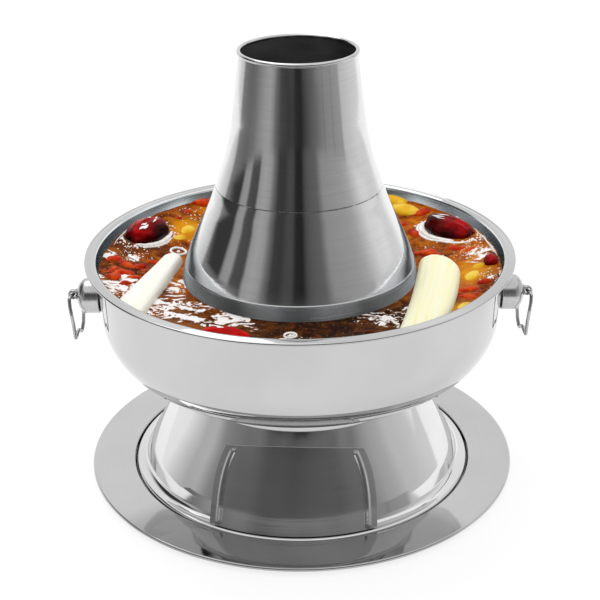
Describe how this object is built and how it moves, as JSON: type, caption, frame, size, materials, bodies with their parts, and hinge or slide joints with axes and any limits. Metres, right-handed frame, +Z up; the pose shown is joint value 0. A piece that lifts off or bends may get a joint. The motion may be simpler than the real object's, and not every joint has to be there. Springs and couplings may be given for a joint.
{
  "type": "charcoal hot pot",
  "caption": "Stainless charcoal hot pot: ring-shaped soup bowl round a fire tube, lift-off chimney, pedestal with sliding draught door, drip tray and drop-ring handles.",
  "frame": {"origin": "on the table, under the centre of the drip tray", "axes": "+Z up along the chimney axis, -Y towards the draught door, handles on +X and -X"},
  "size_m": [0.3522, 0.3304, 0.3291],
  "materials": {
    "polished_steel": "mirror-polished stainless sheet, spun bowl and pedestal",
    "tray_steel": "polished stainless sheet with faint haze",
    "brushed_steel": "stainless sheet with fine grinding marks around the cone",
    "satin_steel": "satin stainless sheet",
    "fitting_steel": "polished handle fittings",
    "wire_steel": "drawn stainless wire",
    "inner_steel": "dull unpolished stainless sheet inside",
    "grate_iron": "dark heat-stained plate"
  },
  "bodies": {
    "tray": {"tray_plate": "tray_steel"},
    "pot": {"base_skirt": "polished_steel", "foot_wire": "wire_steel", "neck_ring": "polished_steel", "bowl_shell": "polished_steel", "fire_tube": "inner_steel", "grate_ledge": "inner_steel", "handle_stud_left": "inner_steel", "handle_stud_right": "inner_steel", "handle_cup_left": "fitting_steel", "handle_cup_right": "fitting_steel", "handle_eye_left": "fitting_steel", "handle_eye_right": "fitting_steel"},
    "chimney": {"chimney_upper": "brushed_steel", "chimney_lower": "brushed_steel", "chimney_collar": "satin_steel", "chimney_seat_ring": "inner_steel", "chimney_mouth_ring": "polished_steel"},
    "grate": {"grate": "grate_iron"},
    "door": {"door_panel": "satin_steel", "door_keeper": "inner_steel", "door_studs": "inner_steel"},
    "ring_left": {"handle_ring_left": "wire_steel"},
    "ring_right": {"handle_ring_right": "wire_steel"}
  },
  "joints": [
    {"name": "pot_lift", "type": "slide", "parent": "tray", "child": "pot", "axis": [0, 0, 1], "range_m": [0, 0.06]},
    {"name": "chimney_lift", "type": "slide", "parent": "pot", "child": "chimney", "axis": [0, 0, 1], "range_m": [0, 0.12]},
    {"name": "grate_lift", "type": "slide", "parent": "pot", "child": "grate", "axis": [0, 0, 1], "range_m": [0, 0.1]},
    {"name": "door_slide", "type": "hinge", "parent": "pot", "child": "door", "pos_m": [0, 0, 0.04], "axis": [0, 0, 1], "range_deg": [-20, 20]},
    {"name": "ring_left_swing", "type": "hinge", "parent": "pot", "child": "ring_left", "pos_m": [-0.1724, 0, 0.141], "axis": [0.2079, 0.9781, 0], "range_deg": [-12, 110]},
    {"name": "ring_right_swing", "type": "hinge", "parent": "pot", "child": "ring_right", "pos_m": [0.1724, 0, 0.141], "axis": [0.2079, -0.9781, 0], "range_deg": [-12, 110]}
  ]
}
